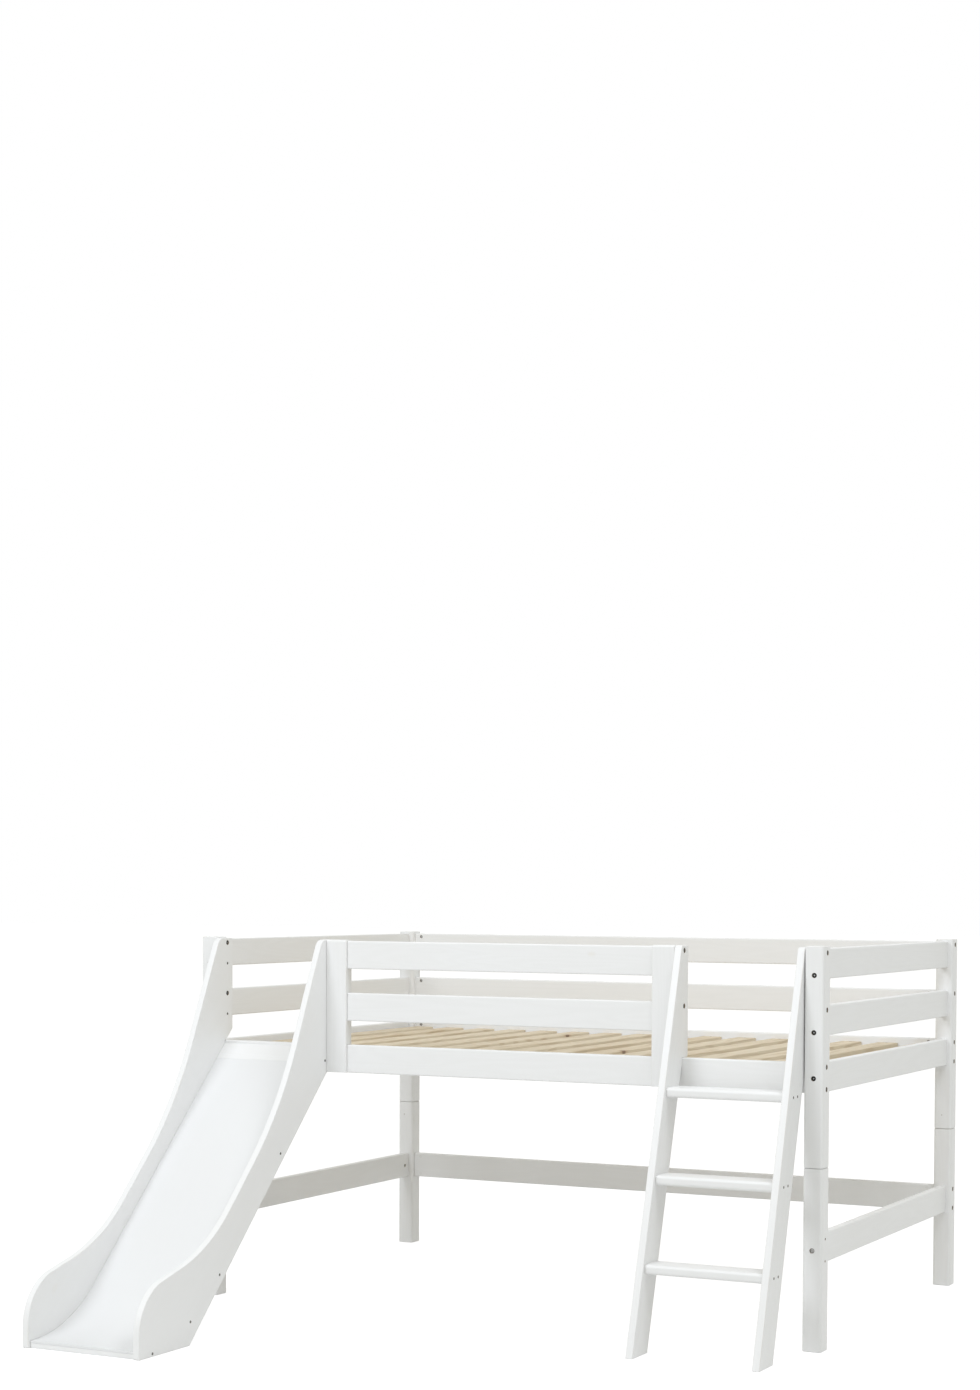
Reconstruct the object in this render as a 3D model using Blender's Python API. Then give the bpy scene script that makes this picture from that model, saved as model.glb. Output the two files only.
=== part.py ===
"""A white pine mid-high bed with a slide and a slanted ladder.

Every post, rail, slat and board is its own object, with the bores and seats that its
bolts and nuts need. X runs along the bed from the slide end to the ladder end, Y from
the front to the rear, Z up, and all sizes are in metres. Places are written in bed
coordinates, with zero on the floor at the outer front corner of the slide-end post. The
root empty then moves the whole bed, so that the middle of its footprint stands on the
world origin.
"""

import math

import bmesh
import bpy
from mathutils import Matrix, Vector

# Bed frame: four posts, each an upper post on a lower leg
BED_LENGTH = 2.060
BED_WIDTH = 1.280
POST_SIDE = 0.057
POST_ROUND = 0.008
POST_END_CHAMFER = 0.002
POST_PROUD = 0.007
LEG_HEIGHT = 0.510
LEG_PIN_RADIUS = 0.005
LEG_PIN_LENGTH = 0.040

# Rails: boards centred in the posts, on three levels round the bed and one below
RAIL_HEIGHT = 0.085
RAIL_THICKNESS = 0.025
RAIL_ROUND = 0.004
RAIL_END_CHAMFER = 0.0008
RAIL_PITCH = 0.158
BED_RAIL_BASE = 0.717
LOW_RAIL_BASE = 0.240

# Guard uprights that hold the front guard rails and lap over the front bed rail
UPRIGHT_WIDTH = 0.070
UPRIGHT_THICKNESS = 0.033
UPRIGHT_PROUD = 0.003
UPRIGHT_ROUND = 0.003
UPRIGHT_TOP_RADIUS = 0.006
DOWEL_RADIUS = 0.004
DOWEL_LENGTH = 0.022
DOWEL_SPREAD = 0.044

# Slatted base
SLAT_COUNT = 16
SLAT_WIDTH = 0.070
SLAT_THICKNESS = 0.020
SLAT_ROUND = 0.003
SLAT_END_MARGIN = 0.005
BEARER_HEIGHT = 0.046
BEARER_THICKNESS = 0.023
BEARER_ROUND = 0.002

# Ladder: two slanted stringers hooked over the front bed rail, with three rungs
LADDER_REACH = 0.315
LADDER_LEAN_SHARE = 0.291
LADDER_INNER_WIDTH = 0.348
LADDER_POST_GAP = 0.0025
STRINGER_WIDTH = 0.098
STRINGER_THICKNESS = 0.022
STRINGER_TOP_RADIUS = 0.012
STRINGER_HOOK_RADIUS = 0.006
STRINGER_ROUND = 0.003
RUNG_COUNT = 3
RUNG_PITCH = 0.2385
FIRST_RUNG_TOP = 0.2485
RUNG_DEPTH = 0.085
RUNG_THICKNESS = 0.028
RUNG_ROUND = 0.009
RUNG_INSET = 0.008

# Slide: two shaped panels with a bent sheet let into grooves between them
SLIDE_REACH = 0.934
SLIDE_INNER_WIDTH = 0.3544
PANEL_THICKNESS = 0.020
PANEL_TOP_LEAD = 0.015
PANEL_LEAN_SHARE = 0.455
PANEL_TOP_RADIUS = 0.035
PANEL_BACK_RADIUS = 0.006
PANEL_KNEE_RADIUS = 1.100
PANEL_HOLLOW_RADIUS = 0.520
PANEL_FOOT_RISE_SHARE = 0.26
PANEL_NOSE_HEIGHT = 0.173
PANEL_NOSE_RADIUS = 0.150
PANEL_FOOT_RADIUS = 0.006
PANEL_FOOT_LENGTH = 0.233
PANEL_EDGE_ROUND = 0.003
SLIDE_WALL = 0.0588
SHEET_LIFT = 0.0555
SHEET_THICKNESS = 0.006
SHEET_BEND_RADIUS = 0.400
LIP_HEIGHT = 0.021
LIP_INSET = 0.010
LIP_FLAT = 0.006
GROOVE_DEPTH = 0.006
TOP_BOARD_LENGTH = 0.065
TOP_BOARD_THICKNESS = 0.012
BATTEN_WIDTH = 0.022
BATTEN_DEPTH = 0.040
BATTEN_ROUND = 0.002
BATTEN_PLACE_SHARES = (0.28, 0.66, 0.805)
HEAD_BATTEN_THICKNESS = 0.020
HEAD_BATTEN_HEIGHT = 0.025
LIP_BATTEN_WIDTH = 0.070

# Connector bolts, with cross nuts in the rails and sleeve nuts in the thin boards. The
# bores and seats for them are cut here
BOLT_RADIUS = 0.003
BOLT_HEAD_RADIUS = 0.0065
BOLT_HEAD_SEAT = 0.005
BOLT_OFFSET = 0.031
BOLT_GRIP = 0.040
BORE_CLEARANCE = 0.0005
HEAD_BORE_CLEARANCE = 0.0008
NUT_RADIUS = 0.005
NUT_LENGTH = 0.018
NUT_INSET = 0.025
SLEEVE_LENGTH = 0.011

# Fits and facets
SEAT_GAP = 0.0003
OVERRUN = 0.002
TURNED_SIDES = 8
ARC_STEP = math.radians(7.0)
ARC_ROOM_SHARE = 0.98

# Heights and planes that follow from the driving sizes
POST_CENTRE = POST_SIDE / 2
RAIL_SETBACK = (POST_SIDE - RAIL_THICKNESS) / 2
RAIL_BACK = RAIL_SETBACK + RAIL_THICKNESS
BED_RAIL_TOP = BED_RAIL_BASE + RAIL_HEIGHT
GUARD_TOP = BED_RAIL_TOP + 2 * RAIL_PITCH
POST_TOP = GUARD_TOP + POST_PROUD
BOARD_TOP = GUARD_TOP + UPRIGHT_PROUD
LEVEL_BASES = {
    "bed": BED_RAIL_BASE,
    "middle": BED_RAIL_BASE + RAIL_PITCH,
    "top": BED_RAIL_BASE + 2 * RAIL_PITCH,
    "low": LOW_RAIL_BASE,
}
LEVEL_CENTRES = {level: base + RAIL_HEIGHT / 2 for level, base in LEVEL_BASES.items()}

# Places along the bed of the slide, the uprights and the ladder
PANEL_LEFT_X = POST_SIDE + SEAT_GAP
TROUGH_LEFT_X = PANEL_LEFT_X + PANEL_THICKNESS
TROUGH_RIGHT_X = TROUGH_LEFT_X + SLIDE_INNER_WIDTH
SLIDE_UPRIGHT_X = TROUGH_RIGHT_X + PANEL_THICKNESS + SEAT_GAP
RIGHT_STRINGER_X = BED_LENGTH - POST_SIDE - LADDER_POST_GAP - STRINGER_THICKNESS
LEFT_STRINGER_X = RIGHT_STRINGER_X - LADDER_INNER_WIDTH - STRINGER_THICKNESS
LADDER_UPRIGHT_X = LEFT_STRINGER_X - SEAT_GAP - UPRIGHT_WIDTH

# Slope of the slide's straight run, from the bed rail down to the panels' foot, and its
# directions in the plane of Y and Z
SLIDE_RISE_SHARE = BED_RAIL_BASE / (RAIL_SETBACK + SLIDE_REACH - PANEL_FOOT_LENGTH)
SLOPE = math.atan(SLIDE_RISE_SHARE)
UPHILL = Vector((math.cos(SLOPE), math.sin(SLOPE)))
AWAY = Vector((-math.sin(SLOPE), math.cos(SLOPE)))

for leftover in list(bpy.data.objects):
    bpy.data.objects.remove(leftover, do_unlink=True)

root = bpy.data.objects.new("bed_root", None)
root.location = (-BED_LENGTH / 2, (SLIDE_REACH - BED_WIDTH) / 2, 0)
bpy.context.collection.objects.link(root)


def material(name, colour, roughness, metallic):
    """A Principled material with one colour, one roughness and one metallic value."""
    made = bpy.data.materials.new(name)
    made.use_nodes = True
    shader = made.node_tree.nodes["Principled BSDF"]
    shader.inputs["Base Color"].default_value = (*colour, 1.0)
    shader.inputs["Roughness"].default_value = roughness
    shader.inputs["Metallic"].default_value = metallic
    return made


white_paint = material("white_paint", (0.84, 0.84, 0.83), 0.42, 0.0)
slide_laminate = material("slide_laminate", (0.88, 0.88, 0.88), 0.25, 0.0)
natural_pine = material("natural_pine", (0.74, 0.56, 0.36), 0.55, 0.0)


def add_object(name, bm, look):
    """Turn a bmesh into a named object under the root, with its material."""
    bmesh.ops.recalc_face_normals(bm, faces=bm.faces)
    mesh = bpy.data.meshes.new(name)
    bm.to_mesh(mesh)
    bm.free()
    mesh.materials.append(look)
    made = bpy.data.objects.new(name, mesh)
    made.parent = root
    bpy.context.collection.objects.link(made)
    return made


def bar_mesh(size, long_axis, edge_round, end_chamfer, segments):
    """A board centred on its own origin: long edges rounded, end edges chamfered."""
    bm = bmesh.new()
    bmesh.ops.create_cube(bm, size=1.0)
    bmesh.ops.scale(bm, vec=size, verts=bm.verts)
    half = size[long_axis] / 2
    across = [axis for axis in range(3) if axis != long_axis]
    long_edges = [edge for edge in bm.edges
                  if all(edge.verts[0].co[axis] == edge.verts[1].co[axis] for axis in across)]
    bmesh.ops.bevel(bm, geom=long_edges, offset=edge_round, segments=segments,
                    profile=0.5, affect="EDGES")
    end_edges = [edge for edge in bm.edges
                 if all(abs(vert.co[long_axis]) > half - end_chamfer for vert in edge.verts)]
    bmesh.ops.bevel(bm, geom=end_edges, offset=end_chamfer, segments=1, affect="EDGES")
    return bm


def bar(name, low, high, long_axis, edge_round, end_chamfer, look, segments=2):
    """A board between two opposite corners, with its origin in its middle."""
    low, high = Vector(low), Vector(high)
    made = add_object(name, bar_mesh(high - low, long_axis, edge_round, end_chamfer, segments), look)
    made.location = (low + high) / 2
    return made


def tangent_length(before, after, radius):
    """How far an arc of a radius reaches along the two sides of its corner."""
    return radius * math.tan((math.pi - before.angle(after)) / 2)


def corner_arc(corner, before, after, tangent):
    """Points of the arc that leaves one side and joins the other at a distance from a corner."""
    turn = math.pi - before.angle(after)
    start = corner + before.normalized() * tangent
    end = corner + after.normalized() * tangent
    middle = (before.normalized() + after.normalized()).normalized()
    centre = corner + middle * tangent / math.sin(turn / 2)
    steps = max(2, math.ceil(turn / ARC_STEP))
    sweep = (start - centre).angle_signed(end - centre)
    return [centre + turned_vector(start - centre, -sweep * step / steps) for step in range(steps + 1)]


def rounded_outline(corners):
    """Points of a closed outline: each corner is (y, z, radius), with an arc for its radius."""
    spots = [Vector((y, z)) for y, z, radius in corners]
    sides = [after - spot for spot, after in zip(spots, spots[1:] + spots[:1])]
    tangents = [tangent_length(-sides[index - 1], sides[index], corner[2])
                for index, corner in enumerate(corners)]
    points = []
    for index, spot in enumerate(spots):
        tangent = tangents[index]
        if tangent == 0:
            points.append(spot)
            continue
        last, following = sides[index - 1], sides[index]
        room = min(last.length / (tangents[index - 1] + tangent),
                   following.length / (tangent + tangents[(index + 1) % len(spots)]))
        points.extend(corner_arc(spot, -last, following, tangent * min(1, ARC_ROOM_SHARE * room)))
    return points


def turned_vector(vector, angle):
    """A vector of the plane turned counter-clockwise by an angle."""
    return Matrix.Rotation(angle, 2) @ vector


def board_from_outline(name, points, thickness, x_middle, edge_round, look):
    """A board whose outline lies in the plane of Y and Z, with rounded rims."""
    bm = bmesh.new()
    ring = [bm.verts.new((-thickness / 2, point.x, point.y)) for point in points]
    side = bm.faces.new(ring)
    extruded = bmesh.ops.extrude_face_region(bm, geom=[side])
    far_side = [item for item in extruded["geom"] if isinstance(item, bmesh.types.BMVert)]
    bmesh.ops.translate(bm, vec=(thickness, 0, 0), verts=far_side)
    rims = [edge for edge in bm.edges if edge.verts[0].co.x == edge.verts[1].co.x]
    if edge_round > 0:
        bmesh.ops.bevel(bm, geom=rims, offset=edge_round, segments=1, affect="EDGES",
                        clamp_overlap=True)
    made = add_object(name, bm, look)
    made.location.x = x_middle
    return made


def add_turned(bm, origin, direction, stations):
    """Add a turned solid: each station is (distance along the direction, radius)."""
    distance, radius = stations[0]
    fresh = list(bmesh.ops.create_circle(bm, cap_ends=True, radius=radius, segments=TURNED_SIDES)["verts"])
    bmesh.ops.translate(bm, vec=(0, 0, distance), verts=fresh)
    cap = fresh[0].link_faces[0]
    for number, (next_distance, next_radius) in enumerate(stations[1:]):
        extruded = bmesh.ops.extrude_face_region(bm, geom=[cap])
        if number > 0:
            bmesh.ops.delete(bm, geom=[cap], context="FACES_ONLY")
        moved = [item for item in extruded["geom"] if isinstance(item, bmesh.types.BMVert)]
        cap = next(item for item in extruded["geom"] if isinstance(item, bmesh.types.BMFace))
        widening = next_radius / radius
        bmesh.ops.scale(bm, vec=(widening, widening, 1), verts=moved)
        bmesh.ops.translate(bm, vec=(0, 0, next_distance - distance), verts=moved)
        fresh.extend(moved)
        distance, radius = next_distance, next_radius
    turn = Vector(direction).to_track_quat("Z", "Y").to_matrix().to_4x4()
    bmesh.ops.transform(bm, matrix=Matrix.Translation(origin) @ turn, verts=fresh)


def boolean(host, bm, label, operation):
    """Cut a bmesh out of a host, or join it on, with an exact Boolean and a wire helper."""
    helper = add_object(f"{host.name}_{label}", bm, host.data.materials[0])
    helper.location = host.location
    helper.hide_render = True
    helper.display_type = "WIRE"
    modifier = host.modifiers.new(label, "BOOLEAN")
    modifier.operation = operation
    modifier.solver = "EXACT"
    modifier.object = helper


# Turned shapes by host name: pins and dowels to join on, bores and their own seats to cut,
# and the seats of cross nuts, which cross the bores
hosts = []
pegs = {}
bores = {}
nut_seats = {}
BOLT_BORE = BOLT_RADIUS + BORE_CLEARANCE
HEAD_BORE = BOLT_HEAD_RADIUS + HEAD_BORE_CLEARANCE
NUT_BORE = NUT_RADIUS + BORE_CLEARANCE
LEG_PIN_SEAT = LEG_PIN_RADIUS + SEAT_GAP
DOWEL_SEAT = DOWEL_RADIUS + SEAT_GAP


def note(shapes, host_name, origin, direction, stations):
    """Note one turned shape for a host, to be used once every host exists."""
    shapes.setdefault(host_name, []).append((Vector(origin), Vector(direction), stations))


def turned_shapes(host, shapes):
    """One bmesh with every turned shape that was noted for a host."""
    bm = bmesh.new()
    for origin, direction, stations in shapes[host.name]:
        add_turned(bm, origin - host.location, direction, stations)
    return bm


def bore_under_head(host_name, face_point, direction, host_depth):
    """A bore through a host, with a wider seat at its mouth for a sunk bolt head."""
    note(bores, host_name, face_point, direction, [
        (-OVERRUN, HEAD_BORE), (BOLT_HEAD_SEAT, HEAD_BORE),
        (BOLT_HEAD_SEAT, BOLT_BORE), (host_depth + OVERRUN, BOLT_BORE)])


def bolt_into_rail(post_name, rail_name, face_point, direction, inner_face_point, inward):
    """Bores for a bolt through a post into a rail's end, and the seat of its cross nut."""
    face_point, direction, inward = Vector(face_point), Vector(direction), Vector(inward)
    rail_end = POST_SIDE + SEAT_GAP
    bore_under_head(post_name, face_point, direction, POST_SIDE)
    note(bores, rail_name, face_point + direction * rail_end, direction,
         [(-OVERRUN, BOLT_BORE), (NUT_INSET, BOLT_BORE)])
    nut_spot = face_point + direction * (rail_end + NUT_INSET)
    mouth = nut_spot + inward * (Vector(inner_face_point) - nut_spot).dot(inward)
    note(nut_seats, rail_name, mouth, -inward, [(-OVERRUN, NUT_BORE), (NUT_LENGTH, NUT_BORE)])


def bolt_into_board(post_name, board_name, face_point, direction, board_near, board_far):
    """Bores for a bolt through a post and a thin board, and the seat of its sleeve nut."""
    bore_under_head(post_name, face_point, direction, POST_SIDE)
    sleeve_start = board_far - SLEEVE_LENGTH
    note(bores, board_name, face_point, direction, [
        (board_near - OVERRUN, BOLT_BORE), (sleeve_start, BOLT_BORE),
        (sleeve_start, NUT_BORE), (board_far + OVERRUN, NUT_BORE)])


def bolt_into_upright(board_name, upright_name, face_point, direction, board_depth):
    """Bores for a bolt through a thin board into the side of a guard upright."""
    bore_under_head(board_name, face_point, direction, board_depth)
    note(bores, upright_name, face_point, direction, [
        (board_depth - OVERRUN, BOLT_BORE), (board_depth + BOLT_GRIP, BOLT_BORE)])


# Posts and legs: square section with rounded corners, pinned end to end
POST_PLACES = {
    "front_left": (0, 0),
    "front_right": (BED_LENGTH - POST_SIDE, 0),
    "rear_left": (0, BED_WIDTH - POST_SIDE),
    "rear_right": (BED_LENGTH - POST_SIDE, BED_WIDTH - POST_SIDE),
}
for corner_name, (post_x, post_y) in POST_PLACES.items():
    far_x = post_x + POST_SIDE
    far_y = post_y + POST_SIDE
    hosts.append(bar(f"leg_{corner_name}", (post_x, post_y, 0), (far_x, far_y, LEG_HEIGHT), 2,
                     POST_ROUND, POST_END_CHAMFER, white_paint))
    hosts.append(bar(f"post_{corner_name}", (post_x, post_y, LEG_HEIGHT + SEAT_GAP),
                     (far_x, far_y, POST_TOP), 2, POST_ROUND, POST_END_CHAMFER, white_paint))
    leg_top = (post_x + POST_CENTRE, post_y + POST_CENTRE, LEG_HEIGHT)
    note(pegs, f"leg_{corner_name}", leg_top, (0, 0, 1),
         [(-OVERRUN, LEG_PIN_RADIUS), (LEG_PIN_LENGTH, LEG_PIN_RADIUS)])
    note(bores, f"post_{corner_name}", leg_top, (0, 0, 1),
         [(-OVERRUN, LEG_PIN_SEAT), (LEG_PIN_LENGTH + SEAT_GAP, LEG_PIN_SEAT)])

# End rails: four levels at each end, between the front and the rear post
for end_name, rail_x in (("left_end", RAIL_SETBACK), ("right_end", BED_LENGTH - RAIL_BACK)):
    for level, base in LEVEL_BASES.items():
        hosts.append(bar(f"{end_name}_{level}_rail",
                         (rail_x, POST_SIDE + SEAT_GAP, base),
                         (rail_x + RAIL_THICKNESS, BED_WIDTH - POST_SIDE - SEAT_GAP, base + RAIL_HEIGHT),
                         1, RAIL_ROUND, RAIL_END_CHAMFER, white_paint))

# Rear rails on four levels, and the front bed rail that runs behind slide and ladder
SIDE_RAIL_START = POST_SIDE + SEAT_GAP
SIDE_RAIL_END = BED_LENGTH - POST_SIDE - SEAT_GAP
REAR_RAIL_Y = BED_WIDTH - RAIL_BACK
for level, base in LEVEL_BASES.items():
    hosts.append(bar(f"rear_{level}_rail",
                     (SIDE_RAIL_START, REAR_RAIL_Y, base),
                     (SIDE_RAIL_END, REAR_RAIL_Y + RAIL_THICKNESS, base + RAIL_HEIGHT),
                     0, RAIL_ROUND, RAIL_END_CHAMFER, white_paint))
hosts.append(bar("front_bed_rail",
                 (SIDE_RAIL_START, RAIL_SETBACK, BED_RAIL_BASE),
                 (SIDE_RAIL_END, RAIL_BACK, BED_RAIL_TOP),
                 0, RAIL_ROUND, RAIL_END_CHAMFER, white_paint))

# Guard uprights: the lower end is thinned to a tongue that laps the front of the rail
UPRIGHT_FRONT = RAIL_BACK - UPRIGHT_THICKNESS
upright_outline = rounded_outline([
    (UPRIGHT_FRONT, BED_RAIL_BASE, 0),
    (RAIL_SETBACK - SEAT_GAP, BED_RAIL_BASE, 0),
    (RAIL_SETBACK - SEAT_GAP, BED_RAIL_TOP + SEAT_GAP, 0),
    (RAIL_BACK, BED_RAIL_TOP + SEAT_GAP, 0),
    (RAIL_BACK, BOARD_TOP, UPRIGHT_TOP_RADIUS),
    (UPRIGHT_FRONT, BOARD_TOP, UPRIGHT_TOP_RADIUS),
])
for upright_name, upright_x in (("slide_upright", SLIDE_UPRIGHT_X), ("ladder_upright", LADDER_UPRIGHT_X)):
    hosts.append(board_from_outline(upright_name, upright_outline, UPRIGHT_WIDTH,
                                    upright_x + UPRIGHT_WIDTH / 2, UPRIGHT_ROUND, white_paint))

# Front guard rails between the uprights, with two dowels at each end
GUARD_START = SLIDE_UPRIGHT_X + UPRIGHT_WIDTH + SEAT_GAP
GUARD_END = LADDER_UPRIGHT_X - SEAT_GAP
for level in ("middle", "top"):
    base = LEVEL_BASES[level]
    hosts.append(bar(f"guard_{level}_rail", (GUARD_START, RAIL_SETBACK, base),
                     (GUARD_END, RAIL_BACK, base + RAIL_HEIGHT),
                     0, RAIL_ROUND, RAIL_END_CHAMFER, white_paint))
    for end_x, outward, upright_name in ((GUARD_START, -1, "slide_upright"),
                                         (GUARD_END, 1, "ladder_upright")):
        for side in (-1, 1):
            end_point = (end_x, POST_CENTRE, LEVEL_CENTRES[level] + side * DOWEL_SPREAD / 2)
            note(pegs, f"guard_{level}_rail", end_point, (outward, 0, 0),
                 [(-OVERRUN, DOWEL_RADIUS), (DOWEL_LENGTH, DOWEL_RADIUS)])
            note(bores, upright_name, end_point, (outward, 0, 0),
                 [(-OVERRUN, DOWEL_SEAT), (DOWEL_LENGTH + SEAT_GAP, DOWEL_SEAT)])

# Slat bearers along the inner faces of the front and rear bed rails
BEARER_TOP = BED_RAIL_BASE + BEARER_HEIGHT
FRONT_BEARER_Y = RAIL_BACK + SEAT_GAP
REAR_BEARER_Y = REAR_RAIL_Y - SEAT_GAP - BEARER_THICKNESS
for bearer_name, bearer_y in (("front_slat_bearer", FRONT_BEARER_Y), ("rear_slat_bearer", REAR_BEARER_Y)):
    bar(bearer_name, (SIDE_RAIL_START, bearer_y, BED_RAIL_BASE),
        (SIDE_RAIL_END, bearer_y + BEARER_THICKNESS, BEARER_TOP),
        0, BEARER_ROUND, RAIL_END_CHAMFER, white_paint, segments=1)

# Slats: one row from the front bearer to the rear bearer, at even steps
first_slat_x = SIDE_RAIL_START + SLAT_END_MARGIN
last_slat_x = SIDE_RAIL_END - SLAT_END_MARGIN - SLAT_WIDTH
slat_step = (last_slat_x - first_slat_x) / (SLAT_COUNT - 1)
SLAT_BASE = BEARER_TOP + SEAT_GAP
for number in range(SLAT_COUNT):
    slat_x = first_slat_x + slat_step * number
    bar(f"slat_{number + 1:02d}",
        (slat_x, FRONT_BEARER_Y, SLAT_BASE),
        (slat_x + SLAT_WIDTH, REAR_BEARER_Y + BEARER_THICKNESS, SLAT_BASE + SLAT_THICKNESS),
        1, SLAT_ROUND, RAIL_END_CHAMFER, natural_pine, segments=1)


def stringer_front(z):
    """Y of the ladder's slanted front edge at a height."""
    return LADDER_LEAN_SHARE * z - LADDER_REACH


# Ladder stringers: slanted to the floor, hooked over the bed rail, upright behind it
stringer_run = STRINGER_WIDTH * math.hypot(1, LADDER_LEAN_SHARE)
hook_y = RAIL_SETBACK - SEAT_GAP
stringer_outline = rounded_outline([
    (stringer_front(0), 0, 0),
    (stringer_front(0) + stringer_run, 0, 0),
    (hook_y, (hook_y - stringer_front(0) - stringer_run) / LADDER_LEAN_SHARE, 0),
    (hook_y, BED_RAIL_TOP + SEAT_GAP, 0),
    (POST_SIDE, BED_RAIL_TOP + SEAT_GAP, STRINGER_HOOK_RADIUS),
    (POST_SIDE, BOARD_TOP, STRINGER_TOP_RADIUS),
    (stringer_front(BOARD_TOP), BOARD_TOP, STRINGER_TOP_RADIUS),
])
for stringer_name, stringer_x in (("ladder_stringer_left", LEFT_STRINGER_X),
                                  ("ladder_stringer_right", RIGHT_STRINGER_X)):
    hosts.append(board_from_outline(stringer_name, stringer_outline, STRINGER_THICKNESS,
                                    stringer_x + STRINGER_THICKNESS / 2, STRINGER_ROUND, white_paint))

# Ladder rungs: flat treads with rounded nosings between the stringers
for number in range(RUNG_COUNT):
    rung_top = FIRST_RUNG_TOP + RUNG_PITCH * number
    rung_front = stringer_front(rung_top) + RUNG_INSET
    bar(f"ladder_rung_{number + 1}",
        (LEFT_STRINGER_X + STRINGER_THICKNESS + SEAT_GAP, rung_front, rung_top - RUNG_THICKNESS),
        (RIGHT_STRINGER_X - SEAT_GAP, rung_front + RUNG_DEPTH, rung_top),
        0, RUNG_ROUND, RAIL_END_CHAMFER, white_paint)


def slope_z(lift, y):
    """Height at Y of the line that runs the given distance above the slide's lower edge."""
    return BED_RAIL_BASE + lift / math.cos(SLOPE) + SLIDE_RISE_SHARE * (y - RAIL_SETBACK)


def slope_y(lift, z):
    """Y at a height of the line that runs the given distance above the slide's lower edge."""
    return RAIL_SETBACK + (z - BED_RAIL_BASE - lift / math.cos(SLOPE)) / SLIDE_RISE_SHARE


# Slide panels: a steep upper edge runs through a long knee into the slide's slope, then
# through a hollow into the gently falling foot and over a round nose down to the floor
rim_lift = SHEET_LIFT + SLIDE_WALL
rim_rise = BOARD_TOP - slope_z(rim_lift, 0)
knee_y = -(PANEL_TOP_LEAD + PANEL_LEAN_SHARE * rim_rise) / (1 - PANEL_LEAN_SHARE * SLIDE_RISE_SHARE)
foot_rise = slope_z(rim_lift, -SLIDE_REACH) - PANEL_NOSE_HEIGHT
hollow_y = -SLIDE_REACH - foot_rise / (SLIDE_RISE_SHARE - PANEL_FOOT_RISE_SHARE)
hook_top = BED_RAIL_TOP + SEAT_GAP
panel_outline = rounded_outline([
    (-PANEL_TOP_LEAD, BOARD_TOP, PANEL_TOP_RADIUS),
    (knee_y, slope_z(rim_lift, knee_y), PANEL_KNEE_RADIUS),
    (hollow_y, slope_z(rim_lift, hollow_y), PANEL_HOLLOW_RADIUS),
    (-SLIDE_REACH, PANEL_NOSE_HEIGHT, PANEL_NOSE_RADIUS),
    (-SLIDE_REACH, 0, PANEL_FOOT_RADIUS),
    (slope_y(0, 0), 0, 0),
    (hook_y, slope_z(0, hook_y), 0),
    (hook_y, hook_top, 0),
    (slope_y(SHEET_LIFT, hook_top), hook_top, 0),
    (POST_SIDE, slope_z(SHEET_LIFT, POST_SIDE), 0),
    (POST_SIDE, BOARD_TOP, PANEL_BACK_RADIUS),
])

# Slide sheet: its upper face follows the slope, bends and runs level to the lip
board_end = Vector((hook_y, slope_z(SHEET_LIFT, hook_y)))
joint = board_end - UPHILL * TOP_BOARD_LENGTH
bend = Vector((slope_y(SHEET_LIFT, LIP_HEIGHT), LIP_HEIGHT))
lip = Vector((LIP_INSET - SLIDE_REACH, LIP_HEIGHT))
sheet_top = joint - UPHILL * SEAT_GAP
bend_tangent = min(tangent_length(sheet_top - bend, lip - bend, SHEET_BEND_RADIUS),
                   (lip - bend).length - LIP_FLAT)
sheet_bend = corner_arc(bend, sheet_top - bend, lip - bend, bend_tangent)
sheet_path = [sheet_top] + sheet_bend + [lip]


def path_directions(path):
    """The unit direction of a path at each of its points."""
    directions = []
    for index in range(len(path)):
        before = path[max(index - 1, 0)]
        after = path[min(index + 1, len(path) - 1)]
        directions.append((after - before).normalized())
    return directions


def sunk_path(path, depth):
    """A path moved square to itself, downwards for a path that runs from the top to the front."""
    return [point + Vector((-direction.y, direction.x)) * depth
            for point, direction in zip(path, path_directions(path))]


def strip_mesh(path, upper, lower, left_x, right_x):
    """A strip that follows a path, between two depths under it and two places in X."""
    outline = sunk_path(path, upper) + list(reversed(sunk_path(path, lower)))
    bm = bmesh.new()
    side = bm.faces.new([bm.verts.new((left_x, point.x, point.y)) for point in outline])
    extruded = bmesh.ops.extrude_face_region(bm, geom=[side])
    far_side = [item for item in extruded["geom"] if isinstance(item, bmesh.types.BMVert)]
    bmesh.ops.translate(bm, vec=(right_x - left_x, 0, 0), verts=far_side)
    return bm


for panel_name, panel_x, groove_side in (("slide_panel_left", PANEL_LEFT_X, 1),
                                         ("slide_panel_right", TROUGH_RIGHT_X, -1)):
    panel_middle = panel_x + PANEL_THICKNESS / 2
    panel = board_from_outline(panel_name, panel_outline, PANEL_THICKNESS, panel_middle,
                               PANEL_EDGE_ROUND, white_paint)
    inner_face = groove_side * PANEL_THICKNESS / 2
    groove_floor = inner_face - groove_side * GROOVE_DEPTH
    groove_mouth = inner_face + groove_side * OVERRUN
    groove_path = [sheet_path[0] + UPHILL * SEAT_GAP / 2] + sheet_path[1:]
    groove_path.append(lip - Vector((SEAT_GAP, 0)))
    groove = strip_mesh(groove_path, -SEAT_GAP, SHEET_THICKNESS + SEAT_GAP,
                        min(groove_floor, groove_mouth), max(groove_floor, groove_mouth))
    boolean(panel, groove, "groove", "DIFFERENCE")
    hosts.append(panel)

sheet_reach = GROOVE_DEPTH - SEAT_GAP
add_object("slide_sheet", strip_mesh(sheet_path, 0, SHEET_THICKNESS, TROUGH_LEFT_X - sheet_reach,
                                     TROUGH_RIGHT_X + sheet_reach), slide_laminate)

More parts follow.
